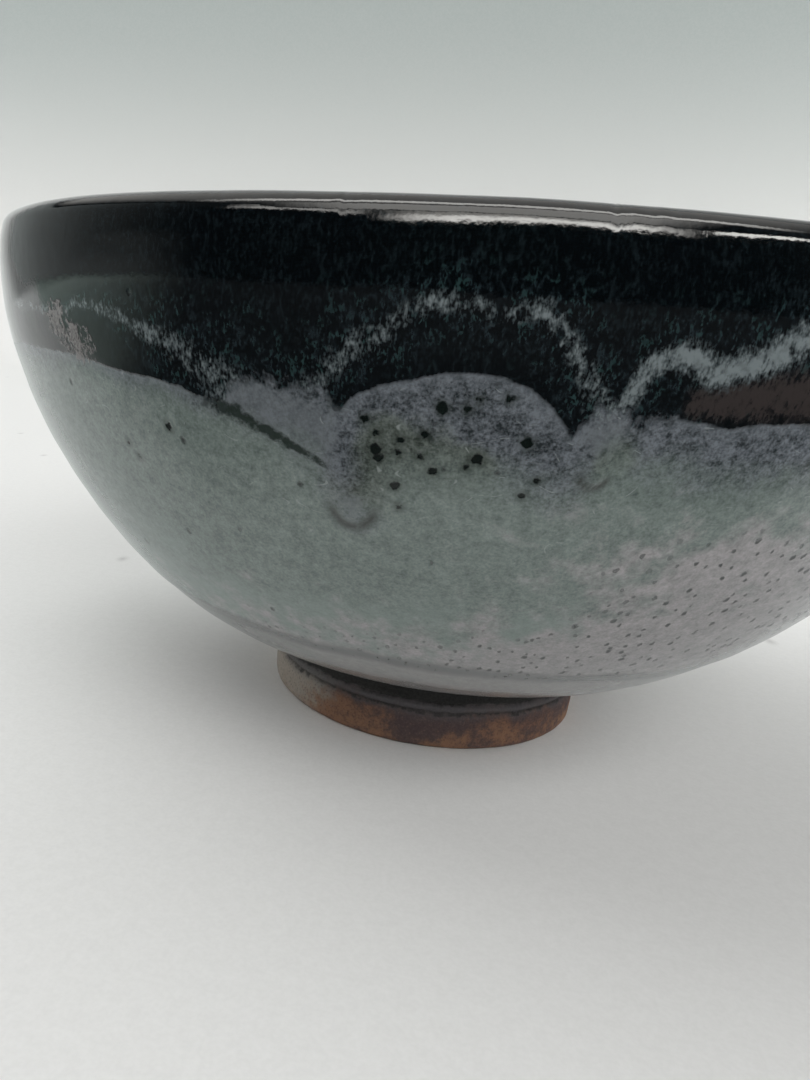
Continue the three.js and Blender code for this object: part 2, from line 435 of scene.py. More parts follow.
def coat(name, node, start, stop, step, material):
    """A closed skin of glaze between two lengths along the section at each column. One that
    reaches the middle of the floor closes there."""
    around = columns()
    count = int(np.max(stop - start) / step) + 2
    back_count = max(4, count // 8)
    front_t = np.linspace(0, 1, count)
    back_t = np.linspace(1, 0, back_count)
    reaches_middle = bool(np.min(stop) >= END)
    if reaches_middle:
        front_t, back_t = front_t[:-1], back_t[1:]
    rows = []
    for t in front_t:
        rows.append((start + (stop - start) * t, 0))
    for t in back_t:
        rows.append((start + (stop - start) * t, COAT))
    s = np.concatenate([row for row, _ in rows])
    degrees = np.tile(around, len(rows))
    points = np.concatenate([coat_points(around, row, depth) for row, depth in rows])
    maps = fields(degrees, s)
    faces = loop_faces(len(rows), len(around))
    if reaches_middle:
        faces, points, maps = close_at_middle(faces, points, maps, len(front_t), len(around))
    return mesh_piece(name, points, faces, node, material, maps)


def close_at_middle(faces, points, maps, front_rows, around):
    """Swaps the strip of quads between the last front row and the first back row for two fans."""
    first = (front_rows - 1) * around
    faces = faces[:first] + faces[first + around:]
    front_pole, back_pole = len(points), len(points) + 1
    poles = np.array(((0, 0, FLOOR[1]), (0, 0, FLOOR[1] - COAT)))
    for col in range(around):
        nxt = (col + 1) % around
        faces.append((first + col, first + nxt, front_pole))
        faces.append((first + around + nxt, first + around + col, back_pole))
    maps = {key: np.append(values, values[[first, first]]) for key, values in maps.items()}
    return faces, np.concatenate((points, poles)), maps


SCORES = (5.35, 6.7)
SCORE_DEPTH = 0.34
SCORE_WIDTH = 0.3


def foot_section():
    """The turned foot as a closed section: an eased sole, two scored lines and a hollow inside."""
    heights = np.arange(0.7, FOOT_TOP, 0.2)
    outer = FOOT_RADIUS - 0.3 + 0.25 * heights / FOOT_TOP
    for score in SCORES:
        outer = outer - SCORE_DEPTH * np.exp(-(((heights - score) / SCORE_WIDTH) ** 2))
    outer = outer + 0.05 * np.exp(-(((heights - 6.05) / 0.35) ** 2))
    turn = np.radians(np.arange(-80, 1, 20))
    ease = np.stack((outer[0] - 0.6 + 0.6 * np.cos(turn), 0.6 + 0.6 * np.sin(turn)), 1)
    inner = ((17.4, FOOT_TOP), (17.7, 8), (18.0, 4), (18.25, 1), (18.5, 0.35), (18.9, 0.04))
    sole = ((20, 0), (21.5, 0), (22.7, 0))
    return np.concatenate((ease, np.stack((outer, heights), 1), inner, sole))


def foot_ring(material):
    section = foot_section()
    around = np.arange(-180, 180, 1.0)
    rings = []
    for r, z in section:
        ring = place(around, np.full(around.shape, r), np.full(around.shape, z))
        worn = 0.05 * ripple(ring, 7, 21) + 0.02 * ripple(ring, 2, 22) - 0.09
        rings.append(place(around, r + worn * (1 if z > 0 else 0), np.full(around.shape, z)))
    faces = loop_faces(len(section), len(around))
    return mesh_piece(
        "foot_ring_fine", np.concatenate(rings), faces, "foot_ring", material
    )


def glaze_coats(material):
    around = columns()
    run = length_at_height(edge_at(RUN_EDGE, around))
    dark = length_at_height(edge_at(DARK_EDGE, around))
    inside = length_at_height(inside_edge_at(around), inside=True)
    end = np.full(around.shape, END)
    coat("pale_glaze_fine", "pale_glaze", 0 * run, run, PALE_ROW, material)
    coat("overlap_glaze_fine", "overlap_glaze", run, dark, FINE_ROW, material)
    coat("dark_glaze_fine", "dark_glaze", dark, inside, FINE_ROW, material)
    coat("liner_glaze_fine", "liner_glaze", inside, end, LINER_ROW, material)


# ---- Materials ---------------------------------------------------------------------------------

# The wall's radius where most pits are, which turns an angle into a length.
PIT_RADIUS = 52


class Graph:
    """Adds shader nodes to a new material, or to a world, and joins them up. Values are sockets or
    constants. Sizes are in millimetres."""

    def __init__(self, name, world=None):
        self.material = world or bpy.data.materials.new(name)
        self.material.use_nodes = True
        self.tree = self.material.node_tree
        self.tree.nodes.clear()

    def node(self, kind, inputs, **settings):
        made = self.tree.nodes.new(kind)
        for key, value in settings.items():
            setattr(made, key, value)
        for key, value in inputs.items():
            if isinstance(value, bpy.types.NodeSocket):
                self.tree.links.new(value, made.inputs[key])
            else:
                made.inputs[key].default_value = value
        return made

    def math(self, operation, a, b=0.0, clamp=False):
        made = self.node("ShaderNodeMath", {0: a, 1: b}, operation=operation, use_clamp=clamp)
        return made.outputs[0]

    def add(self, *terms):
        total = terms[0]
        for term in terms[1:]:
            total = self.math("ADD", total, term)
        return total

    def times(self, a, b):
        return self.math("MULTIPLY", a, b)

    def step(self, value, low, high, to_low=0.0, to_high=1.0):
        """A smooth step of a value from to_low to to_high, as it goes from low to high."""
        inputs = {
            "Value": value, "From Min": low, "From Max": high, "To Min": to_low, "To Max": to_high,
        }
        made = self.node("ShaderNodeMapRange", inputs, interpolation_type="SMOOTHSTEP")
        return made.outputs["Result"]

    def vary(self, value, amount):
        """Noise brought to a swing of amount either side of zero."""
        return self.times(self.math("SUBTRACT", value, 0.5), 2 * amount)

    def mix(self, factor, a, b):
        made = self.node("ShaderNodeMix", {0: factor, 6: a, 7: b}, data_type="RGBA")
        return made.outputs[2]

    def noise(self, where, size, detail=3.0, rough=0.55):
        inputs = {"Vector": where, "Scale": 1 / size, "Detail": detail, "Roughness": rough}
        return self.node("ShaderNodeTexNoise", inputs).outputs["Fac"]

    def attribute(self, name):
        return self.node("ShaderNodeAttribute", {}, attribute_name=name).outputs["Fac"]

    def mark(self, name, swing):
        """A painted mark, ruffled by a swing of noise that acts only where the mark is."""
        value = self.attribute(name)
        return self.add(value, self.times(self.step(value, 0.02, 0.4), swing))

    def stretch(self, where, by):
        return self.node("ShaderNodeVectorMath", {0: where, 1: by}, operation="MULTIPLY").outputs[0]

    def place(self):
        """The point on the object, in millimetres."""
        point = self.node("ShaderNodeTexCoord", {}).outputs["Object"]
        return self.stretch(point, (1 / MM, 1 / MM, 1 / MM))

    def unrolled(self, point):
        """Distance round the wall and length up it, in millimetres."""
        x, y, _ = self.apart(point)
        turn = self.math("ARCTAN2", x, self.times(y, -1))
        inputs = {"X": self.times(turn, PIT_RADIUS), "Y": self.attribute("along"), "Z": 0.0}
        return self.node("ShaderNodeCombineXYZ", inputs).outputs[0]

    def apart(self, where):
        return self.node("ShaderNodeSeparateXYZ", {0: where}).outputs

    def flecks(self, where, size, share, largest):
        """Round flecks, half to all of the largest width: a share of cells of a size hold one."""
        inputs = {"Vector": where, "Scale": 1 / size}
        cells = self.node("ShaderNodeTexVoronoi", inputs, voronoi_dimensions="2D")
        chance, other, _ = self.apart(cells.outputs["Color"])
        held = self.step(chance, 1 - share - 0.01, 1 - share + 0.01)
        reach = self.times(held, self.step(other, 0, 1, largest / (4 * size), largest / (2 * size)))
        depth = self.math("SUBTRACT", reach, cells.outputs["Distance"])
        return self.times(held, self.step(depth, -0.05, 0.03))

    def finish(self, colour, roughness, height, ior=1.5):
        """The surface. Height is in millimetres."""
        bump = self.node("ShaderNodeBump", {"Height": height, "Strength": 1.0, "Distance": MM})
        inputs = {
            "Base Color": colour,
            "Roughness": roughness,
            "Normal": bump.outputs["Normal"],
            "IOR": ior,
        }
        shader = self.node("ShaderNodeBsdfPrincipled", inputs)
        self.node("ShaderNodeOutputMaterial", {"Surface": shader.outputs[0]})
        return self.material


def spot_depth(g, where):
    """How deep inside the nearest burnt spot a point is, in millimetres."""
    depth = None
    for degrees, height, radius in SPOTS:
        r, z, _, _ = on_section(length_at_height(height))
        centre = place(degrees, r, z)
        away = g.node("ShaderNodeVectorMath", {0: where, 1: tuple(centre)}, operation="DISTANCE")
        inside = g.math("SUBTRACT", radius, away.outputs["Value"])
        depth = inside if depth is None else g.math("MAXIMUM", depth, inside)
    return depth


PALE_DIM = (0.080, 0.104, 0.096, 1)
PALE = (0.218, 0.258, 0.242, 1)
# Painted light: a lighter pale glaze for low on the wall.
PALE_LOW_PAINTED_LIGHT = (0.225, 0.275, 0.258, 1)
MAUVE_DIM = (0.175, 0.168, 0.174, 1)
MAUVE = (0.375, 0.355, 0.36, 1)
THIN = (0.255, 0.250, 0.245, 1)
THIN_DIM = (0.17, 0.165, 0.165, 1)
LILAC_DIM = (0.020, 0.025, 0.028, 1)
LILAC = (0.155, 0.172, 0.194, 1)
# Pale haze, and the painted highlight in a run's bead.
HAZE_AND_HIGHLIGHT = (0.135, 0.150, 0.162, 1)
OLIVE_DIM = (0.026, 0.034, 0.028, 1)
OLIVE = (0.122, 0.142, 0.130, 1)
PIT = (0.022, 0.027, 0.026, 1)
HAIR = (0.30, 0.33, 0.33, 1)
BURNT = (0.003, 0.006, 0.005, 1)
GREEN_BLACK = (0.009, 0.016, 0.012, 1)
# Painted shade for the ring round the runs' beads.
BEAD_PAINTED_SHADE = (0.028, 0.030, 0.027, 1)
BLACK = (0.0012, 0.0022, 0.0030, 1)
SPECK = (0.012, 0.019, 0.023, 1)
TEAL = (0.022, 0.050, 0.050, 1)
BROWN_BLACK = (0.033, 0.027, 0.026, 1)
SMOKE = (0.045, 0.056, 0.060, 1)
WISP = (0.170, 0.197, 0.205, 1)
# Pale crust colour, a painted sparkle of reflected light.
CRUST_AND_SPARKLE = (0.19, 0.175, 0.172, 1)
# Painted shade for the line along the glaze's step above the foot.
STEP_PAINTED_SHADE = (0.125, 0.128, 0.128, 1)


PALE_ROUGHNESS = 0.17
DARK_ROUGHNESS = 0.06
# Relief of the glaze too fine for the mesh, in millimetres.
ORANGE_PEEL = 0.02
PIT_DEPTH = 0.03
DARK_RISE = 0.03
CRUST_RISE = 0.12


def glaze_noise(g):
    """The noises that the glaze is made from. Names give their size: broad, blotch, clump, mottle,
    grain. The two that fall are drawn out down the wall, as the glaze ran."""
    where = g.place()
    fall = g.stretch(where, (1, 1, 0.5))
    x, _, z = g.apart(where)
    return SimpleNamespace(
        where=where, x=x, z=z,
        broad=g.noise(where, 9, 4), blotch=g.noise(where, 3.4, 3, 0.6),
        clump=g.noise(where, 1.7, 2, 0.5), mottle=g.noise(where, 0.62, 3, 0.6),
        grain=g.noise(where, 0.24, 2, 0.6), ragged=g.noise(where, 1.1, 4, 0.6),
        streak=g.noise(fall, 0.55, 3, 0.6), thread=g.noise(fall, 0.25, 2, 0.6),
    )


def grainy(g, n, swing, dim, light):
    """A colour that swings between dim and light with the three finer noises."""
    fine, coarse = g.vary(n.grain, 0.9 * swing), g.vary(n.clump, 0.7 * swing)
    swell = g.add(0.5, fine, g.vary(n.mottle, swing), coarse)
    return g.mix(g.math("MULTIPLY", swell, 1.0, clamp=True), dim, light)


def warmth(g, n):
    """How mauve the pale glaze is: most to the right below its middle, some low down all round."""
    right = g.times(g.step(n.x, -2, 30), g.step(n.z, 46, 36))
    low = g.times(g.step(n.z, 33, 22, 0, 0.75), g.step(n.x, -34, 4, 0.5, 1))
    return g.add(right, low)


def calm_colour(g, n, warm):
    """Pale glaze: grey-green, made lighter lower down by painted light, mauve where it is warm, and
    thin and grey just above the foot, with a line of painted shade where it steps back.
    """
    colour = grainy(g, n, 0.55, PALE_DIM, PALE)
    # Painted light: the glaze is made lighter lower down, where the floor lights the belly.
    painted_low_light = g.step(g.add(n.z, g.vary(n.broad, 12)), 34, 24, 0, 0.5)
    colour = g.mix(painted_low_light, colour, PALE_LOW_PAINTED_LIGHT)
    mauve_at = g.step(g.add(g.vary(n.blotch, 0.9), warm), 0.2, 0.9, 0, 0.9)
    colour = g.mix(mauve_at, colour, grainy(g, n, 0.5, MAUVE_DIM, MAUVE))
    # The glaze thins out only outside, so points inside the bowl count as far above the foot.
    indoors = g.step(g.attribute("along"), CROWN - 1, CROWN + 1, 0, HEIGHT)
    bare = g.add(n.z, indoors, g.vary(n.broad, 0.8), g.vary(n.clump, 0.3))
    thin = g.step(bare, THIN_TOP + 0.5, THIN_TOP - 0.5, 0, 0.75)
    colour = g.mix(thin, colour, grainy(g, n, 0.3, THIN_DIM, THIN))
    # Painted shade: a darker line along the step where the glaze thins.
    above = g.step(bare, THIN_TOP + 1.6, THIN_TOP + 0.3)
    below = g.step(bare, THIN_TOP - 1.4, THIN_TOP - 0.2)
    return g.mix(g.times(above, below), colour, STEP_PAINTED_SHADE)


def mixed_colour(g, n):
    """Glaze where the dark melted into the pale: blue-grey, with patches of olive and pale haze, one
    of them a painted highlight on a run's bead.
    """
    lilac = grainy(g, n, 0.95, LILAC_DIM, LILAC)
    olive = grainy(g, n, 0.95, OLIVE_DIM, OLIVE)
    olive_at = g.step(g.add(g.attribute("olive"), g.vary(n.blotch, 0.5)), 0.25, 0.75)
    colour = g.mix(olive_at, lilac, olive)
    # The haze map also holds a painted highlight in one run's bead.
    haze_and_highlight = g.add(g.attribute("haze_and_highlight"), g.vary(n.mottle, 0.5), g.vary(n.clump, 0.4))
    return g.mix(g.times(g.step(haze_and_highlight, 0.15, 0.9), 0.6), colour, HAZE_AND_HIGHLIGHT)


def hairlines(g, n):
    """Short pale threads: stretches of a noise's middle level, most of them near the dark glaze."""
    level = g.noise(g.stretch(n.where, (1, 1, 2)), 3.4, 0)
    ridge = g.math("ABSOLUTE", g.math("SUBTRACT", level, 0.5))
    here = g.step(g.noise(n.where, 1.3, 1), 0.58, 0.66)
    near = g.step(g.attribute("low"), -9, -1, 0.12, 0.5)
    return g.times(g.step(ridge, 0.014, 0.005), g.times(here, near))


def night_colour(g, n, warped):
    """Near-black glaze, with falling specks, smoky pale wisps and one brown patch."""
    veil = g.times(g.attribute("veil"), g.step(n.z, 62.5, 57, 0.5, 1.0))
    crowd = g.add(g.vary(n.streak, 0.3), g.vary(n.clump, 0.16), g.times(veil, 0.06))
    speck = g.step(g.add(n.thread, crowd), 0.46, 0.76)
    colour = g.mix(g.times(speck, g.step(veil, 0, 1, 0.45, 1.1)), BLACK, SPECK)
    teal = g.times(g.step(g.add(n.thread, g.vary(n.ragged, 0.6)), 0.58, 0.78), veil)
    colour = g.mix(g.times(teal, 0.75), colour, TEAL)
    brown = g.mark("brown", g.add(g.vary(n.streak, 0.9), g.vary(n.thread, 0.7)))
    colour = g.mix(g.step(brown, 0.05, 0.95), colour, BROWN_BLACK)
    inputs = {"Vector": g.stretch(warped, (1, 1, 0.55)), "Scale": 0.95}
    cells = g.node("ShaderNodeTexVoronoi", inputs)
    holes = g.times(g.step(cells.outputs["Distance"], 0.40, 0.24), g.step(n.blotch, 0.45, 0.6))
    tatter = g.add(
        g.vary(n.clump, 0.65), g.vary(n.mottle, 0.6), g.vary(n.streak, 0.8), g.vary(n.thread, 1.0),
        g.times(holes, -0.55),
    )
    smoke = g.mark("wisp", tatter)
    colour = g.mix(g.step(smoke, 0.12, 0.8), colour, SMOKE)
    bright = g.times(g.step(smoke, 0.5, 1.3), g.step(n.mottle, 0.32, 0.6, 0.6, 1))
    return g.mix(bright, colour, WISP)


def wander(g, where):
    """The point moved about by up to a quarter of a millimetre, to roughen round shapes."""
    drift = g.node("ShaderNodeTexNoise", {"Vector": where, "Scale": 2.2, "Detail": 2.0})
    inputs = {0: drift.outputs["Color"], 1: (0.5, 0.5, 0.5)}
    shift = g.node("ShaderNodeVectorMath", inputs, operation="SUBTRACT")
    nudge = g.stretch(shift.outputs[0], (0.5, 0.5, 0.7))
    return g.node("ShaderNodeVectorMath", {0: where, 1: nudge}, operation="ADD").outputs[0]


def glaze():
    """The melted glazes in one surface: pale, blue-grey where they mix, and near black."""
    g = Graph("fired_glaze")
    n = glaze_noise(g)
    warped = wander(g, n.where)
    warm = warmth(g, n)
    hair = hairlines(g, n)
    mixed_at = g.add(g.attribute("low"), g.vary(n.broad, 3.0), g.vary(n.clump, 1.6))
    colour = g.mix(g.step(mixed_at, -1.5, 3.5), calm_colour(g, n, warm), mixed_colour(g, n))
    colour = g.mix(hair, colour, HAIR)

    # Iron: burnt spots in the dome and small pits everywhere, most on the lower right.
    burnt = g.add(spot_depth(g, warped), g.vary(n.grain, 0.12))
    colour = g.mix(g.step(burnt, -0.6, 0.05, 0, 0.4), colour, OLIVE_DIM)
    charred = g.step(burnt, -0.06, 0.12)
    colour = g.mix(charred, colour, BURNT)
    tall = g.stretch(g.unrolled(warped), (1, 0.65, 1))
    few = g.flecks(tall, 3.4, 0.12, 0.42)
    crowd = g.step(g.add(warm, g.vary(n.blotch, 0.4)), 0.35, 0.8)
    pits = g.math("MAXIMUM", few, g.times(g.flecks(tall, 1.2, 0.55, 0.42), crowd))
    pits = g.times(pits, g.step(n.z, THIN_TOP - 1.3, THIN_TOP + 1.2))
    colour = g.mix(g.times(pits, 0.9), colour, PIT)
    # Painted shade: the ring round each run's bead is darkened.
    bead_shade = g.times(g.attribute("bead_shade"), g.step(n.mottle, 0.25, 0.6, 0.6, 1))
    colour = g.mix(g.times(bead_shade, 0.95), colour, BEAD_PAINTED_SHADE)
    tail = g.step(g.mark("tail", g.add(g.vary(n.ragged, 1.0), g.vary(n.mottle, 0.7))), 0.15, 0.8)
    colour = g.mix(g.times(tail, 0.9), colour, GREEN_BLACK)

    # Dark glaze over it: crisp or torn at its edge.
    torn = g.attribute("torn")
    tear = g.add(g.vary(n.ragged, 1.2), g.vary(n.streak, 1.4), g.vary(n.mottle, 0.8))
    wavy = g.add(g.attribute("dark"), g.vary(n.ragged, 0.25), g.vary(n.grain, 0.15))
    dark_at = g.add(wavy, g.times(torn, tear))
    dark = g.step(g.math("DIVIDE", dark_at, g.add(g.times(torn, 0.5), 0.16)), -1, 1)
    glow = g.times(g.step(dark_at, -1.3, -0.2), g.add(1, g.times(torn, -0.8)))
    colour = g.mix(g.times(glow, 0.3), colour, LILAC)
    colour = g.mix(dark, colour, night_colour(g, n, warped))
    # Partly painted reflection: the crust is rough raised glaze, and its pale colour stands in for
    # sparkle on it.
    crust_and_sparkle = g.step(g.mark("crust_and_sparkle", g.add(g.vary(n.clump, 0.9), g.vary(n.mottle, 1.4))), 0.35, 0.75)
    colour = g.mix(g.times(crust_and_sparkle, g.step(n.grain, 0.35, 0.6, 0.35, 0.95)), colour, CRUST_AND_SPARKLE)

    height = g.add(
        g.times(g.noise(n.where, 1.6, 2), ORANGE_PEEL),
        g.times(n.grain, 0.004),
        g.times(g.step(burnt, -0.25, 0.2), -PIT_DEPTH),
        g.times(pits, -PIT_DEPTH),
        g.times(g.times(hair, g.step(dark, 0, 1, 1, 0)), 0.008),
        g.times(dark, DARK_RISE),
        g.times(g.times(crust_and_sparkle, n.mottle), CRUST_RISE),
    )
    smooth = g.math("MAXIMUM", dark, charred)
    gloss = g.step(smooth, 0, 1, PALE_ROUGHNESS, DARK_ROUGHNESS)
    roughness = g.add(gloss, g.times(pits, 0.15), g.times(crust_and_sparkle, 0.3))
    return g.finish(colour, roughness, height)


CLAY_RED = (0.115, 0.058, 0.038, 1)
CLAY_ORANGE = (0.205, 0.105, 0.057, 1)
CLAY_PURPLE = (0.042, 0.029, 0.034, 1)
CLAY_PALE = (0.31, 0.29, 0.25, 1)
# Painted shade for the foot's top under the bowl and for its lower scored line.
CLAY_GREY_SHADE = (0.075, 0.074, 0.080, 1)
CLAY_BLACK_SHADE = (0.010, 0.010, 0.009, 1)


def bare_clay(name, painted_foot_shade):
    """Unglazed stoneware: iron red and orange with purple-black clouds, paler towards the left and
    higher up. On the foot, painted shade turns it grey and then near black above its scored lines,
    under the bowl, and darkens the lower scored line."""
    g = Graph(name)
    where = g.place()
    x, _, z = g.apart(where)
    flame = g.noise(g.stretch(where, (1, 1, 1.3)), 7, 3)
    mottle = g.noise(where, 1.3, 4, 0.65)
    sand = g.noise(where, 0.3, 3, 0.65)
    turned = g.noise(g.stretch(where, (0.12, 0.12, 2.4)), 1.0, 3)
    toasted = g.step(g.add(z, g.vary(flame, 4), g.vary(mottle, 2)), 4.2, 1.2)
    colour = g.mix(toasted, CLAY_RED, CLAY_ORANGE)
    middle = g.step(g.math("ABSOLUTE", g.math("SUBTRACT", x, 3)), 14, 4, -0.02, 0.10)
    cloud = g.add(flame, g.vary(mottle, 0.35), g.step(z, 1, 5, -0.05, 0.08), middle)
    colour = g.mix(g.step(cloud, 0.42, 0.70, 0, 0.8), colour, CLAY_PURPLE)
    # Paler towards the left and higher up.
    paler = g.step(g.add(g.step(x, -6, -20), g.times(z, 0.07), g.vary(mottle, 0.5)), 0.45, 1.15)
    colour = g.mix(g.times(paler, 0.85), colour, CLAY_PALE)
    colour = g.mix(g.step(sand, 0.52, 0.7, 0, 0.6), colour, CLAY_PURPLE)
    colour = g.mix(g.step(sand, 0.45, 0.3, 0, 0.35), colour, CLAY_ORANGE)
    # Painted shade: grey then near black up the foot under the bowl, and dark in the lower scored line.
    if painted_foot_shade:
        edge = g.add(z, g.vary(mottle, 0.7), g.vary(flame, 0.8))
        colour = g.mix(g.step(edge, 3.8, 6.0, 0, 0.8), colour, CLAY_GREY_SHADE)
        colour = g.mix(g.step(edge, 6.3, 6.9, 0, 0.95), colour, CLAY_BLACK_SHADE)
        score = g.times(g.step(edge, 4.9, 5.3), g.step(edge, 5.8, 5.4))
        colour = g.mix(g.times(score, g.step(mottle, 0.3, 0.6, 0.25, 0.75)), colour, CLAY_BLACK_SHADE)
    height = g.add(g.times(sand, 0.07), g.times(mottle, 0.05), g.times(turned, 0.05))
    return g.finish(colour, g.step(sand, 0.3, 0.7, 0.7, 0.95), height)


# ---- Studio ------------------------------------------------------------------------------------

PAPER = (0.82, 0.82, 0.805, 1)
# Painted shade: the paper cooler and darker up the wall.
PAPER_SHADED_UP_THE_WALL = (0.38, 0.425, 0.415, 1)
PAPER_TOOTH = (0.62, 0.62, 0.60, 1)
PAPER_DUST = (0.33, 0.32, 0.31, 1)
# Painted shadow and shade for the mirrored paper: dark in front, green-grey at the left.
MIRRORED_FRONT_SHADOW = (0.006, 0.009, 0.011, 1)
MIRRORED_SIDE_SHADE = (0.37, 0.46, 0.42, 1)
MIRRORED_WHITE = (0.78, 0.8, 0.79, 1)


def pale_paper():
    """Matt white paper, cooler and darker up the back with painted shade, as a lit sweep is."""
    g = Graph("pale_paper")
    where = g.place()
    _, _, z = g.apart(where)
    fibre = g.noise(where, 1.5, 3)
    # Painted shade: the paper goes cooler and darker up the wall.
    colour = g.mix(g.step(z, 60, 330), PAPER, PAPER_SHADED_UP_THE_WALL)
    speck = g.noise(where, 0.5, 2)
    tooth = g.add(g.step(fibre, 0.3, 0.7, 0, 0.1), g.step(speck, 0.3, 0.7, 0, 0.12))
    colour = g.mix(tooth, colour, PAPER_TOOTH)
    dust = g.flecks(g.stretch(where, (1, 0.6, 1)), 34, 0.3, 0.4)
    colour = g.mix(g.times(g.times(dust, g.step(z, 2, 0.5)), 0.6), colour, PAPER_DUST)
    return g.finish(colour, 0.9, g.times(fibre, 0.01), ior=1.3)


def leftward(g, x, y, near, far):
    """A share that rises from near to far along X, leftwards, and leaves out the front."""
    ahead = g.math("DIVIDE", y, g.math("MAXIMUM", g.times(x, -1), 0.1))
    return g.times(g.step(x, near, far), g.step(ahead, -0.75, -0.15))


def mirrored_paper():
    """The paper as the glaze mirrors it: white behind the bowl and close round it, green-grey at
    the left with painted shade, and dark in front with a painted shadow, where the photographer
    stands. Lengths are in millimetres."""
    g = Graph("mirrored_paper")
    where = g.place()
    x, y, _ = g.apart(where)
    # Painted shade: dark in front as a shadow where the photographer stands, green-grey at the left.
    colour = g.mix(leftward(g, x, y, -60, -180), MIRRORED_FRONT_SHADOW, MIRRORED_SIDE_SHADE)
    away = g.node("ShaderNodeVectorMath", {0: where}, operation="LENGTH").outputs["Value"]
    edge = g.math("MAXIMUM", g.add(g.times(x, -0.437), -104), -60.0)
    lit = g.math("MAXIMUM", g.step(away, 105, 70), g.step(g.math("SUBTRACT", y, edge), -12, 12))
    return g.finish(g.mix(lit, colour, MIRRORED_WHITE), 0.9, 0.0)


def sheet(name, outline, material, mirrored=False):
    """A stage surface from rows of points, in metres. It shows to glossy rays or to the camera and
    diffuse rays, not to both."""
    mesh = bpy.data.meshes.new(name)
    verts = [point for row in outline for point in row]
    wide = len(outline[0])
    faces = [
        (r * wide + c, r * wide + c + 1, (r + 1) * wide + c + 1, (r + 1) * wide + c)
        for r in range(len(outline) - 1) for c in range(wide - 1)
    ]
    mesh.from_pydata(verts, [], faces)
    mesh.polygons.foreach_set("use_smooth", [True] * len(mesh.polygons))
    mesh.materials.append(material)
    piece = bpy.data.objects.new(name, mesh)
    bpy.context.scene.collection.objects.link(piece)
    piece.visible_glossy = mirrored
    piece.visible_camera = not mirrored
    piece.visible_diffuse = not mirrored
    piece.visible_shadow = not mirrored


# The sweep in metres: its wall, the bend at its foot, its reach, and its height.
BACK = 0.62
BEND = 0.12
FAR = 1.9
WALL_TOP = 1.2
# How bright the room behind the camera is for matt surfaces, and to the camera itself.
ROOM_LIGHT = 0.02
ROOM_SEEN = 0.5
# The mirrored paper stands this far off the paper that the camera sees, and comes this far forward.
STAND_OFF = 0.0003
NEAR = -1.4


def sweep_row(x, near, off=0.0):
    """One line of paper along Y at a given X: floor, bend and wall, stood off by a distance."""
    row = [(x, near, off), (x, BACK - BEND, off)]
    for turn in np.radians(np.arange(10, 91, 10)):
        row.append((x, BACK - BEND + BEND * math.sin(turn) - off, off + BEND - BEND * math.cos(turn)))
    return row + [(x, BACK - off, WALL_TOP)]


def stage():
    """The paper, and a second sweep that only glossy rays see. That one is cut off slantwise at
    the left, so that the glaze mirrors the room beyond it."""
    sheet("paper", [sweep_row(x, -FAR) for x in (-FAR, FAR)], pale_paper())
    left_end = [(x + min(1.5 * z, 0.5), y, z) for x, y, z in sweep_row(-1.1, 0.37, STAND_OFF)]
    rows = [left_end, sweep_row(-0.6, NEAR, STAND_OFF), sweep_row(0.8, NEAR, STAND_OFF)]
    sheet("paper_mirrored", rows, mirrored_paper(), mirrored=True)


def aimed(name, data, where):
    """A new object that faces the bowl."""
    made = bpy.data.objects.new(name, data)
    made.location = where
    aim = Vector((0, 0, 0.04)) - Vector(where)
    made.rotation_euler = aim.to_track_quat("-Z", "Y").to_euler()
    made.visible_camera = False
    bpy.context.scene.collection.objects.link(made)
    return made


def area_light(name, where, size, power):
    """A soft light for the matt side of things; the glaze mirrors the softboxes instead."""
    data = bpy.data.lights.new(name, "AREA")
    data.shape = "RECTANGLE"
    data.size, data.size_y = size
    data.energy = power
    aimed(name, data, where).visible_glossy = False


def softbox(name, where, size, strength, sill=0.0, fill=1.0):
    """A glowing card that only glossy rays see. It starts at its sill, a share of the way up,
    fades from there to a share of its strength, its fill, and fades out at both ends."""
    g = Graph(name)
    along, up, _ = g.apart(g.node("ShaderNodeTexCoord", {}).outputs["Generated"])
    ends = g.times(g.step(along, 0, 0.3), g.step(along, 1, 0.75))
    glow = g.times(g.step(up, sill, sill + 0.12), g.step(up, sill + 0.18, sill + 0.45, 1, fill))
    power = g.times(g.times(ends, glow), strength)
    shine = g.node("ShaderNodeEmission", {"Color": (1, 0.985, 0.94, 1), "Strength": power})
    g.node("ShaderNodeOutputMaterial", {"Surface": shine.outputs[0]})
    wide, tall = size[0] / 2, size[1] / 2
    mesh = bpy.data.meshes.new(name)
    corners = ((-wide, -tall, 0), (wide, -tall, 0), (wide, tall, 0), (-wide, tall, 0))
    mesh.from_pydata(corners, [], [(0, 1, 2, 3)])
    mesh.materials.append(g.material)
    card = aimed(name, mesh, where)
    card.visible_diffuse = False
    card.visible_shadow = False


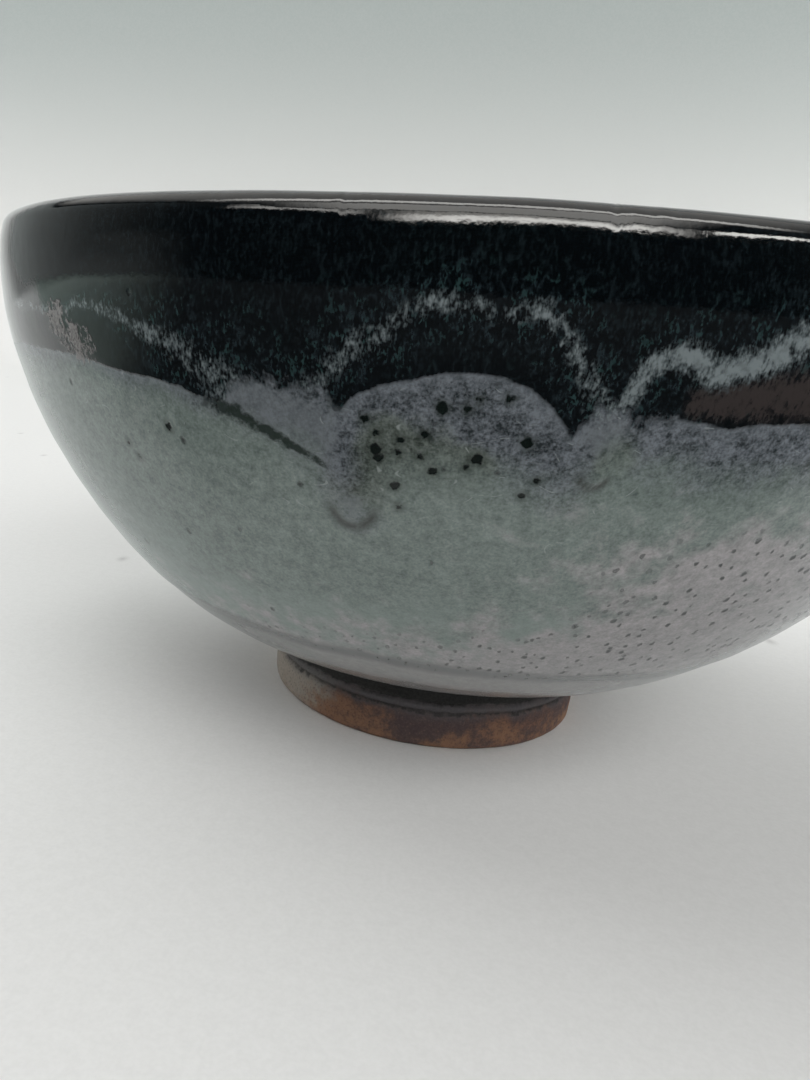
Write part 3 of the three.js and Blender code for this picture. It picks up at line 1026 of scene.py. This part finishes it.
def lights():
    """Soft lights in watts for the matt side of things, then the cards that the glaze mirrors."""
    area_light("overhead", (-0.45, 0.25, 1.1), (1.4, 1.4), 11.5)
    area_light("over_camera", (0.5, -0.85, 0.9), (1.0, 0.7), 8.9)
    area_light("left_wall", (-0.85, 0.1, 0.35), (0.8, 0.5), 2.0)
    area_light("left_low", (-0.7, -0.2, 0.1), (0.6, 0.16), 0.6)
    area_light("right_back", (0.6, 0.5, 0.25), (0.6, 0.4), 2.5)
    area_light("right_low", (0.7, -0.2, 0.12), (0.7, 0.2), 1.0)
    softbox("ceiling", (-0.1, 0.25, 1.15), (3.0, 2.4), 1.0)
    softbox("front_right", (0.25, -1.38, 0.87), (1.9, 0.6), 13.5, sill=0.3, fill=0.28)
    softbox("front_left", (-0.95, -1.15, 0.97), (1.0, 0.5), 5.0, sill=0.27, fill=0.55)
    softbox("far_right", (1.3, -1.05, 0.9), (1.1, 0.14), 14.0)
    softbox("high", (0, -0.82, 1.17), (2.2, 0.74), 3.6)
    softbox("top", (0, -0.27, 1.1), (2.4, 0.2), 7.0)


def world():
    """A soft white room. Reflections see it bright behind the bowl, dim at its left, and dark in
    front, where the photographer would stand."""
    room = bpy.data.worlds.new("room")
    room.use_nodes = True
    g = Graph("room", room)
    x, y, z = g.apart(g.node("ShaderNodeTexCoord", {}).outputs["Generated"])
    left = g.times(leftward(g, x, y, -0.3, -0.7), g.step(z, 0.26, -0.03))
    seen = g.math("MAXIMUM", g.step(y, -0.6, 0.7, 0.015, 0.5), g.times(left, 0.33))
    mirrored = g.node("ShaderNodeBackground", {"Color": (0.93, 1.0, 0.98, 1), "Strength": seen})
    rays = g.node("ShaderNodeLightPath", {}).outputs
    seen_by_camera = g.step(rays["Is Camera Ray"], 0, 1, ROOM_LIGHT, ROOM_SEEN)
    soft = g.node("ShaderNodeBackground", {"Color": (0.98, 1.0, 0.99, 1), "Strength": seen_by_camera})
    inputs = {0: rays["Is Glossy Ray"], 1: soft.outputs[0], 2: mirrored.outputs[0]}
    both = g.node("ShaderNodeMixShader", inputs)
    g.node("ShaderNodeOutputWorld", {"Surface": both.outputs[0]})
    bpy.context.scene.world = room


# The camera stands close to the bowl and a little below its rim. The view is wide, and its axis
# is left of the middle of the picture. The place is in metres, the angles are in radians, and the
# lens and sensor are in millimetres.
CAMERA_AT = (0.0, -0.1259, 0.0552)
CAMERA_YAW = -0.194
CAMERA_PITCH = 0.267
CAMERA_ROLL = 0.079
CAMERA_SHIFT = 0.114
LENS = 27.03
LONG_SENSOR = 36.0


def camera():
    yaw, pitch, roll = CAMERA_YAW, CAMERA_PITCH, CAMERA_ROLL
    ahead = Vector((
        math.sin(yaw) * math.cos(pitch), math.cos(yaw) * math.cos(pitch), -math.sin(pitch),
    ))
    level = Vector((math.cos(yaw), -math.sin(yaw), 0))
    above = level.cross(ahead)
    right = math.cos(roll) * level + math.sin(roll) * above
    up = -math.sin(roll) * level + math.cos(roll) * above
    data = bpy.data.cameras.new("camera")
    data.lens = LENS
    data.sensor_width = LONG_SENSOR
    data.shift_x = CAMERA_SHIFT
    data.clip_start = 0.002
    made = bpy.data.objects.new("camera", data)
    made.matrix_world = Matrix((right, up, -ahead)).transposed().to_4x4()
    made.location = CAMERA_AT
    bpy.context.scene.collection.objects.link(made)
    bpy.context.scene.camera = made


def main():
    camera()
    stage()
    lights()
    world()
    bpy.context.scene.view_settings.view_transform = "Standard"
    glaze_coats(glaze())
    foot_ring(bare_clay("foot_clay", painted_foot_shade=True))
    body = frame["nodes"]["clay_body"]
    body.data.materials.clear()
    body.data.materials.append(bare_clay("body_clay", painted_foot_shade=False))


main()
